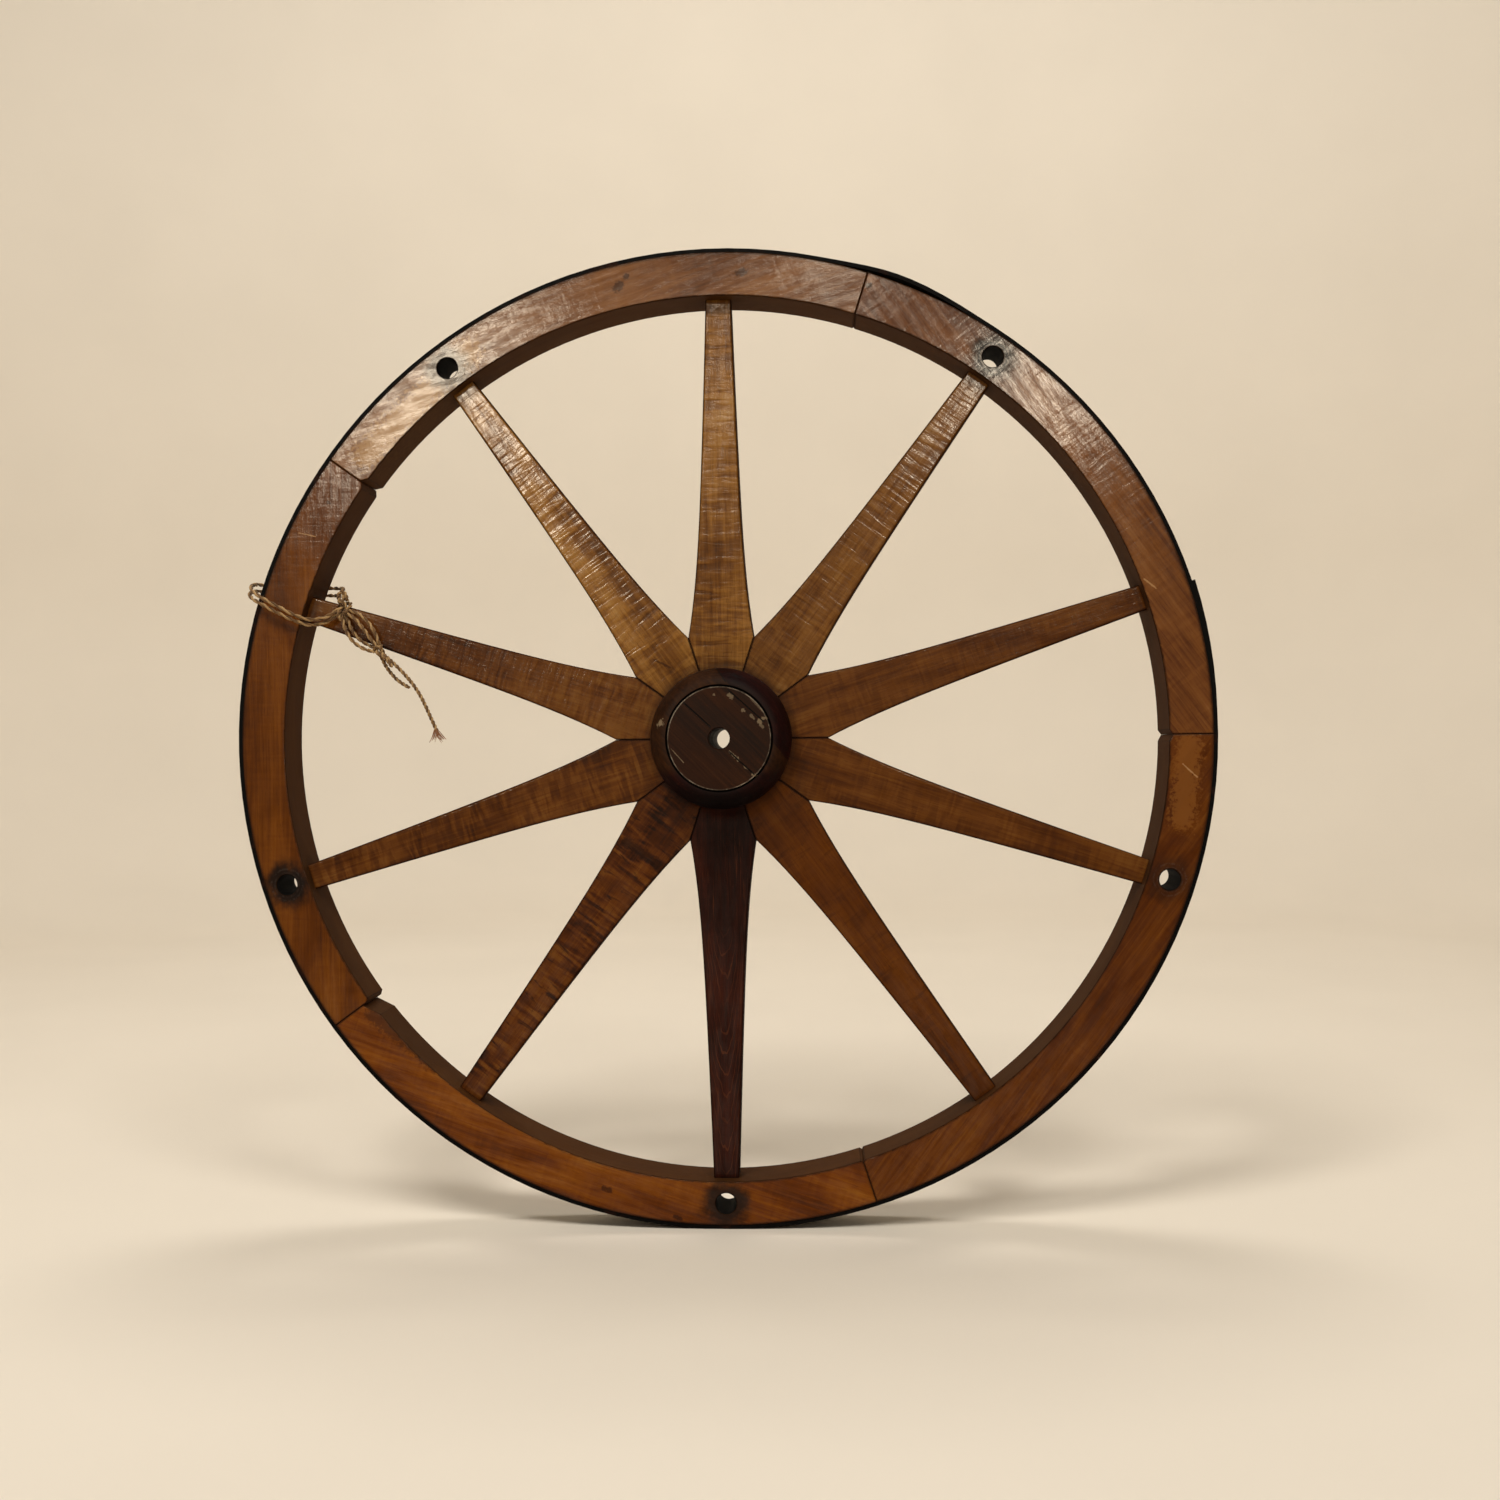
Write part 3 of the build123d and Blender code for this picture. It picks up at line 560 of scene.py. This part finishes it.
# How far along the twine its two plies take to go once round each other
LOOP_LAY, BOW_LAY, TAIL_LAY, KNOT_LAY, STUB_LAY = 15 * MM, 11 * MM, 6.6 * MM, 9 * MM, 6 * MM
PLY_RADIUS, PLY_OFFSET = TWINE * 0.30, TWINE * 0.27
HAIR_RADIUS, HAIR_REACH = 0.035 * MM, 1.6 * MM
CORD_SPACING, KNOT_SPACING, YARN_SPACING = 0.45 * MM, 0.4 * MM, 0.8 * MM


def smooth_route(name, points_mm):
    """The line that a cord follows: a NURBS curve on its given points."""
    curve = bpy.data.curves.new(name, "CURVE")
    curve.dimensions = "3D"
    curve.resolution_u = 12
    spline = curve.splines.new("NURBS")
    spline.points.add(len(points_mm) - 1)
    for point, place in zip(spline.points, points_mm):
        point.co = (*(Vector(place) * MM), 1.0)
    spline.order_u = 3
    spline.use_endpoint_u = True
    route = bpy.data.objects.new(name, curve)
    bpy.context.scene.collection.objects.link(route)
    evaluated = route.evaluated_get(bpy.context.evaluated_depsgraph_get())
    mesh = bpy.data.meshes.new_from_object(evaluated)
    line = [vertex.co.copy() for vertex in mesh.vertices]
    bpy.data.meshes.remove(mesh)
    bpy.data.objects.remove(route)
    return line


def evenly(line, spacing):
    """Points at an even spacing along a line."""
    lengths = [0.0]
    for a, b in zip(line, line[1:]):
        lengths.append(lengths[-1] + (b - a).length)
    count = max(8, round(lengths[-1] / spacing))
    places, segment = [], 0
    for step in range(count + 1):
        target = lengths[-1] * step / count
        while segment < len(line) - 2 and lengths[segment + 1] < target:
            segment += 1
        span = lengths[segment + 1] - lengths[segment]
        part = (target - lengths[segment]) / span if span else 0.0
        places.append(line[segment].lerp(line[segment + 1], part))
    return places


def frames_along(line):
    """A tangent and two steady normals at each point of a line."""
    tangents = [(b - a).normalized() for a, b in zip(line, line[1:])]
    tangents.append(tangents[-1])
    side = tangents[0].orthogonal().normalized()
    frames = []
    for tangent in tangents:
        side = (side - tangent * side.dot(tangent)).normalized()
        frames.append((tangent, side, tangent.cross(side)))
    return frames


class Strands:
    """One mesh made of many thin round or lobed strands."""

    def __init__(self):
        self.points, self.faces, self.finishes = [], [], []

    def add(self, line, radius, sides, lobes=0, lobe_pitch=1.0, taper=0.15, finish=0):
        """A strand along a line: its fibres are lobes that wind round it."""
        first, travelled = len(self.points), 0.0
        frames = frames_along(line)
        for index, (centre, (_, side, up)) in enumerate(zip(line, frames)):
            if index:
                travelled += (centre - line[index - 1]).length
            size = radius * (taper if index in (0, len(line) - 1) else 1.0)
            for number in range(sides):
                turn = 2 * math.pi * number / sides
                out = side * math.cos(turn) + up * math.sin(turn)
                winding = turn + 2 * math.pi * travelled / lobe_pitch
                wave = 1 + 0.13 * math.cos(lobes * winding) if lobes else 1
                self.points.append(centre + out * size * wave)
        for ring in range(len(line) - 1):
            base = first + ring * sides
            for number in range(sides):
                near, after = base + number, base + (number + 1) % sides
                self.faces.append((near, after, after + sides, near + sides))
        self.faces.append(tuple(first + number for number in reversed(range(sides))))
        last = first + (len(line) - 1) * sides
        self.faces.append(tuple(last + number for number in range(sides)))
        self.finishes += [finish] * (len(self.faces) - len(self.finishes))

    def two_ply(self, line, pitch):
        """Two plies laid round each other, the second painted darker as shade."""
        frames = frames_along(line)
        for finish, start in enumerate((0.0, math.pi)):
            strand, travelled = [], 0.0
            for index, (centre, (_, side, up)) in enumerate(zip(line, frames)):
                if index:
                    travelled += (centre - line[index - 1]).length
                turn = start + 2 * math.pi * travelled / pitch
                strand.append(centre + (side * math.cos(turn) + up * math.sin(turn)) * PLY_OFFSET)
            self.add(strand, PLY_RADIUS, sides=15, lobes=5, lobe_pitch=pitch * -0.8, finish=finish)

    def fuzz(self, line, count, seed):
        """Loose hairs that stand off the twine."""
        chance = random.Random(seed)
        frames = frames_along(line)
        for _ in range(count):
            index = chance.randrange(1, len(line) - 1)
            tangent, side, up = frames[index]
            turn = chance.uniform(0, 2 * math.pi)
            out = side * math.cos(turn) + up * math.sin(turn)
            lean = tangent * chance.uniform(-1.6, 1.6) + up * chance.uniform(-0.5, 0.5)
            root = line[index] + out * TWINE * 0.36
            length = chance.uniform(0.35, 1.0) * HAIR_REACH
            tip = root + (out + lean).normalized() * length
            middle = root.lerp(tip, 0.5) + out * length * 0.18
            hair = [root, root.lerp(middle, 0.6), middle, middle.lerp(tip, 0.6), tip]
            self.add(hair, HAIR_RADIUS, sides=3, taper=0.5)

    def make(self, name, materials):
        """The finished piece, riding on the wheel. Each strand's finish picks one of the materials."""
        mesh = bpy.data.meshes.new(name)
        mesh.from_pydata([tuple(point) for point in self.points], [], self.faces)
        for material in materials:
            mesh.materials.append(material)
        for polygon, finish in zip(mesh.polygons, self.finishes):
            polygon.use_smooth = True
            polygon.material_index = finish
        piece = bpy.data.objects.new(name, mesh)
        bpy.context.scene.collection.objects.link(piece)
        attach(piece, "root")
        return piece


# The routes of the twine's runs, in millimetres, as in the CAD model
LOWER_LOOP = [
    (-300.0, -16.8, 102.8), (-304.5, -17.6, 98.6), (-309.6, -18.6, 95.0), (-316.0, -20.8, 92.6),
    (-322.8, -23.4, 92.2), (-330.0, -25.6, 94.2), (-338.4, -27.0, 98.0), (-347.6, -27.4, 102.6),
    (-357.0, -27.0, 107.8), (-368.0, -23.4, 113.6), (-374.8, -11.0, 118.8), (-377.2, 5.0, 122.4),
    (-377.8, 18.0, 123.8), (-371.6, 27.0, 123.2), (-358.0, 29.5, 122.0), (-341.0, 29.5, 121.2),
    (-324.0, 26.5, 120.6), (-312.6, 17.5, 119.4), (-307.0, 5.0, 118.2), (-304.0, -6.5, 116.0),
    (-299.6, -14.5, 109.0),
]
UPPER_LOOP = [
    (-298.2, -17.2, 106.5), (-302.8, -19.6, 102.9), (-308.6, -21.2, 98.9), (-315.0, -22.6, 96.6),
    (-321.6, -25.0, 96.2), (-328.6, -27.0, 98.0), (-336.6, -28.4, 101.9), (-345.4, -28.8, 106.6),
    (-355.2, -28.4, 111.8), (-366.4, -24.2, 118.4), (-373.6, -11.0, 124.2), (-376.8, 5.0, 127.8),
    (-377.4, 18.5, 129.2), (-371.0, 27.5, 128.6), (-357.6, 30.0, 127.6), (-341.0, 30.0, 127.2),
    (-322.6, 27.0, 126.6), (-310.2, 18.5, 125.2), (-304.4, 6.0, 123.6), (-300.6, -6.5, 120.8),
    (-297.4, -14.2, 112.0),
]
OUTER_LEFT_BOW = [
    (-298.6, -17.4, 102.0), (-297.4, -17.8, 95.0), (-295.2, -18.0, 88.0), (-291.6, -17.6, 81.4),
    (-286.2, -17.2, 76.2), (-279.4, -17.2, 72.6), (-272.4, -16.8, 70.8),
]
INNER_LEFT_BOW = [
    (-296.4, -16.4, 101.0), (-293.2, -16.2, 94.4), (-290.6, -15.8, 87.6), (-286.2, -15.0, 81.6),
    (-279.8, -14.4, 77.2), (-272.8, -14.4, 74.1),
]
INNER_RIGHT_BOW = [
    (-295.2, -18.4, 102.4), (-288.6, -19.6, 98.6), (-283.2, -19.8, 92.6), (-278.6, -19.4, 86.0),
    (-274.6, -18.4, 80.0), (-270.6, -16.4, 74.4),
]
OUTER_RIGHT_BOW = [
    (-294.8, -18.0, 105.0), (-287.6, -19.6, 102.6), (-280.4, -20.0, 98.2), (-274.8, -19.4, 91.8),
    (-271.2, -18.0, 84.4), (-269.2, -15.9, 76.6),
]
LONG_TAIL = [
    (-267.8, -15.8, 70.6), (-261.3, -17.0, 65.3), (-253.6, -16.2, 57.8), (-246.1, -15.0, 49.5),
    (-238.9, -14.0, 39.2), (-233.7, -14.0, 29.0), (-228.7, -15.0, 18.0), (-224.2, -15.2, 8.2),
]
SHORT_TAIL = [
    (-269.3, -14.0, 69.6), (-266.5, -12.4, 62.0), (-261.6, -11.8, 54.5), (-254.9, -11.8, 47.4),
    (-246.4, -12.1, 42.6),
]
# The ear above the main knot, and the cut stub below the bow's knot
EAR = [
    (-299.5, -17.0, 108.5), (-301.5, -18.2, 114.5), (-298.5, -18.8, 119.0), (-294.5, -18.0, 117.0),
    (-294.0, -17.0, 111.0),
]
STUB = [(-267.6, -17.0, 69.6), (-262.4, -18.6, 64.8), (-258.2, -18.6, 58.8)]
# Each knot's centre, its reach across, inwards and upwards, and how far it is tilted, in radians
KNOT, KNOT_SIZE, KNOT_TILT = Vector((-297.0, -16.6, 105.0)) * MM, (5.2 * MM, 3.2 * MM, 8.4 * MM), 0.25
BOW_KNOT, BOW_SIZE, BOW_TILT = Vector((-269.6, -15.3, 72.4)) * MM, (3.7 * MM, 2.5 * MM, 5.2 * MM), -0.5
# The ways in which the frayed end's two tufts point
TUFTS = (Vector((-0.36, -0.1, -0.9)), Vector((0.62, -0.1, -0.78)))


def knot_line(centre, width, depth, height, tilt):
    """A trefoil: the path of a strand in a simple knot pulled tight."""
    line = []
    steps = 72
    for step in range(steps + 1):
        t = 2 * math.pi * step / steps
        across = (math.sin(t) + 2 * math.sin(2 * t)) / 3
        upward = (math.cos(t) - 2 * math.cos(2 * t)) / 3
        inward = -math.sin(3 * t)
        place = Vector((across * width, inward * depth, upward * height))
        line.append(centre + Matrix.Rotation(tilt, 3, "Y") @ place)
    return line


def make_knot(name, node, centre, size, tilt, materials, end_points):
    """A tight knot drawn as one strand through itself, with a short end that sticks out of it."""
    strands = Strands()
    line = evenly(knot_line(centre, *size, tilt), KNOT_SPACING)
    strands.two_ply(line, KNOT_LAY)
    strands.fuzz(line, 46, seed=len(name))
    stub = evenly(smooth_route("stub", end_points), KNOT_SPACING)
    strands.two_ply(stub, STUB_LAY)
    strands.fuzz(stub, 12, seed=len(end_points))
    piece = strands.make(name, materials)
    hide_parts(node)
    return piece


def make_cord(name, node, points, pitch, materials):
    """A run of two-ply twine."""
    line = evenly(smooth_route(name + "_route", points), CORD_SPACING)
    strands = Strands()
    strands.two_ply(line, pitch)
    strands.fuzz(line, round(len(line) * 0.8), seed=len(points))
    piece = strands.make(name, materials)
    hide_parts(node)
    return piece


def make_fray(materials):
    """The long tail's end, teased out into two tufts of separate yarns."""
    chance = random.Random(7)
    end = Vector(LONG_TAIL[-1]) * MM
    along = (end - Vector(LONG_TAIL[-2]) * MM).normalized()
    strands = Strands()
    for tuft in TUFTS:
        for _ in range(15):
            spread = Vector([chance.uniform(-1, 1) for _ in range(3)])
            start = end - along * 3 * MM + spread * 0.55 * MM
            tip = end + (tuft + spread * 0.24) * chance.uniform(6.0, 10.5) * MM
            middle = start.lerp(tip, 0.5) + along * 1.6 * MM + spread * 0.7 * MM
            yarn = [start, start.lerp(middle, 0.55), middle, middle.lerp(tip, 0.5), tip]
            strands.add(evenly(yarn, YARN_SPACING), chance.uniform(0.16, 0.30) * MM, sides=6, taper=0.4)
    return strands.make("twine_frayed_end", materials)


def make_twine():
    """Both knots, the frayed end, and every run between them."""
    jute = [jute_material("jute_pale_ply", PALE_JUTE), jute_material("jute_shaded_ply", SHADED_JUTE)]
    knot = make_knot("main_knot", "twine_knot", KNOT, KNOT_SIZE, KNOT_TILT, jute, EAR)
    bow_knot = make_knot("bow_knot", "twine_bow_knot", BOW_KNOT, BOW_SIZE, BOW_TILT, jute, STUB)
    fray = make_fray([jute_material("jute_frayed", FRAYED_JUTE)])
    runs = [
        ("loop_lower", LOWER_LOOP, LOOP_LAY, "knot", [knot]),
        ("loop_upper", UPPER_LOOP, LOOP_LAY, "knot", []),
        ("bow_left_outer", OUTER_LEFT_BOW, BOW_LAY, "knot", [bow_knot]),
        ("bow_left_inner", INNER_LEFT_BOW, BOW_LAY, "knot", []),
        ("bow_right_outer", OUTER_RIGHT_BOW, BOW_LAY, "knot", []),
        ("bow_right_inner", INNER_RIGHT_BOW, BOW_LAY, "knot", []),
        ("tail_long", LONG_TAIL, TAIL_LAY, "bare", [fray]),
        ("tail_short", SHORT_TAIL, TAIL_LAY, "bare", []),
    ]
    for name, points, pitch, far_end, pieces in runs:
        make_cord(name + "_cord", "twine_" + name, points, pitch, jute)


make_twine()

# ---------------------------------------------------------------- materials on the CAD nodes


def paint_node(node, material):
    """Give one CAD node a new material."""
    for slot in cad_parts[node].material_slots:
        slot.material = material


def paint_wheel():
    """A material of its own for every felloe and spoke, and shared ones for the rest."""
    for number, look in enumerate(SPOKE_LOOKS):
        paint_node(f"spoke_{number + 1}", spoke_material(number, *look))
    for number, look in enumerate(FELLOE_LOOKS):
        paint_node(f"felloe_{number + 1}", felloe_material(number, *look))
    hub = hub_material()
    paint_node("hub_front_boss", hub)
    paint_node("hub_rear_boss", hub)
    paint_node("iron_hoop", iron_material("hoop_iron_black", srgb(5, 4, 4), 0.3))
    paint_node("hoop_nails", iron_material("nail_iron_dull", srgb(30, 26, 24), 0.6))
    dowel = dowel_material()
    paint_node("felloe_dowels", dowel)
    paint_node("foot_dowels", dowel)


paint_wheel()

# ---------------------------------------------------------------- studio


# The backdrop's flat floor, the radius of its sweep and how high its wall stands
FLOOR_REACH, SWEEP_RADIUS, WALL_TOP = 2.2, 0.9, 3.2
FLOOR_TURNS, SWEEP_STEPS = 96, 12
WALL_TONES, NEAR_PAINTED_SHADE = tones((226, 216, 200), (229, 219, 203)), srgb(92, 88, 82)
WARM, NEUTRAL, SKY = (1.0, 0.86, 0.66), (1.0, 0.97, 0.92), (1.0, 0.95, 0.88, 1.0)
SKY_STRENGTH = 0.08
WHEEL_CENTRE = (0, 0, 0)
# Lamps that light the scene: name, place, what it points at, size in metres and power in watts
LAMPS = [
    ("key", (-0.9, -1.7, 2.6), WHEEL_CENTRE, 1.0, 58),
    ("fill", (0.9, -1.9, 2.5), WHEEL_CENTRE, 1.0, 33),
    ("wall_wash", (0.0, 0.9, 2.9), (0, 2.6, 0.2), 1.2, 40),
]
# Windows that are only seen as glints in the varnish: name, place, size and power
WINDOWS = [
    ("window_left", (-0.85, -2.3, 0.84), 0.46, 46),
    ("window_upper_left", (-0.62, -2.3, 0.99), 0.16, 8),
    ("window_middle", (-0.14, -2.3, 0.92), 0.14, 3),
    ("window_top", (0.14, -2.3, 1.12), 0.24, 9),
    ("window_right", (0.66, -2.3, 0.86), 0.27, 28),
]


def backdrop_material():
    """A pale wall and floor, with painted shade that turns them dark grey towards the camera."""
    paint = Paint("studio_backdrop", Roughness=0.9)
    cloud = paint.noise(paint.place, (3, 3, 3), 2, 0.5)
    pale = paint.ramp(cloud, (0.3, 0.7), WALL_TONES)
    # Painted shade: the backdrop turns dark grey towards the camera
    near = paint.step(paint.parts(paint.place)[1], -0.7, -1.7)
    colour = paint.mix(near, pale, NEAR_PAINTED_SHADE)
    paint.plug(colour, paint.shader.inputs["Base Color"])
    return paint.material


def make_backdrop():
    """A round floor whose edge sweeps up into a wall."""
    floor = -RIM_RADIUS
    profile = [(0.0, floor), (FLOOR_REACH * 0.5, floor), (FLOOR_REACH, floor)]
    for step in range(1, SWEEP_STEPS + 1):
        turn = math.pi / 2 * step / SWEEP_STEPS
        radius = FLOOR_REACH + SWEEP_RADIUS * math.sin(turn)
        profile.append((radius, floor + SWEEP_RADIUS * (1 - math.cos(turn))))
    profile.append((FLOOR_REACH + SWEEP_RADIUS, WALL_TOP))
    points, faces = [], []
    for radius, height in profile:
        for number in range(FLOOR_TURNS):
            turn = 2 * math.pi * number / FLOOR_TURNS
            points.append((radius * math.cos(turn), radius * math.sin(turn), height))
    for ring in range(len(profile) - 1):
        for number in range(FLOOR_TURNS):
            after = (number + 1) % FLOOR_TURNS
            base, above = ring * FLOOR_TURNS, (ring + 1) * FLOOR_TURNS
            faces.append((base + number, base + after, above + after, above + number))
    mesh = bpy.data.meshes.new("studio_backdrop")
    mesh.from_pydata(points, [], faces)
    for polygon in mesh.polygons:
        polygon.use_smooth = True
    mesh.materials.append(backdrop_material())
    backdrop = bpy.data.objects.new("studio_backdrop", mesh)
    bpy.context.scene.collection.objects.link(backdrop)


def add_light(name, place, target, size, power, colour, glints_only=False):
    """A round lamp that points at its target. One for glints only doesn't light matt surfaces."""
    light = bpy.data.lights.new(name, "AREA")
    light.shape = "DISK"
    light.size, light.energy, light.color = size, power, colour
    lamp = bpy.data.objects.new(name, light)
    lamp.location = place
    lamp.rotation_euler = (Vector(target) - Vector(place)).to_track_quat("-Z", "Y").to_euler()
    lamp.visible_diffuse = not glints_only
    bpy.context.scene.collection.objects.link(lamp)


def make_studio():
    """The backdrop, its lamps and windows, and a faint light from all around."""
    make_backdrop()
    for name, place, target, size, power in LAMPS:
        add_light(name, place, target, size, power, NEUTRAL)
    for name, place, size, power in WINDOWS:
        add_light(name, place, WHEEL_CENTRE, size, power, WARM, glints_only=True)
    world = bpy.data.worlds.new("studio")
    world.use_nodes = True
    background = world.node_tree.nodes["Background"]
    background.inputs["Color"].default_value = SKY
    background.inputs["Strength"].default_value = SKY_STRENGTH
    bpy.context.scene.world = world
    bpy.context.scene.view_settings.view_transform = "Standard"


make_studio()
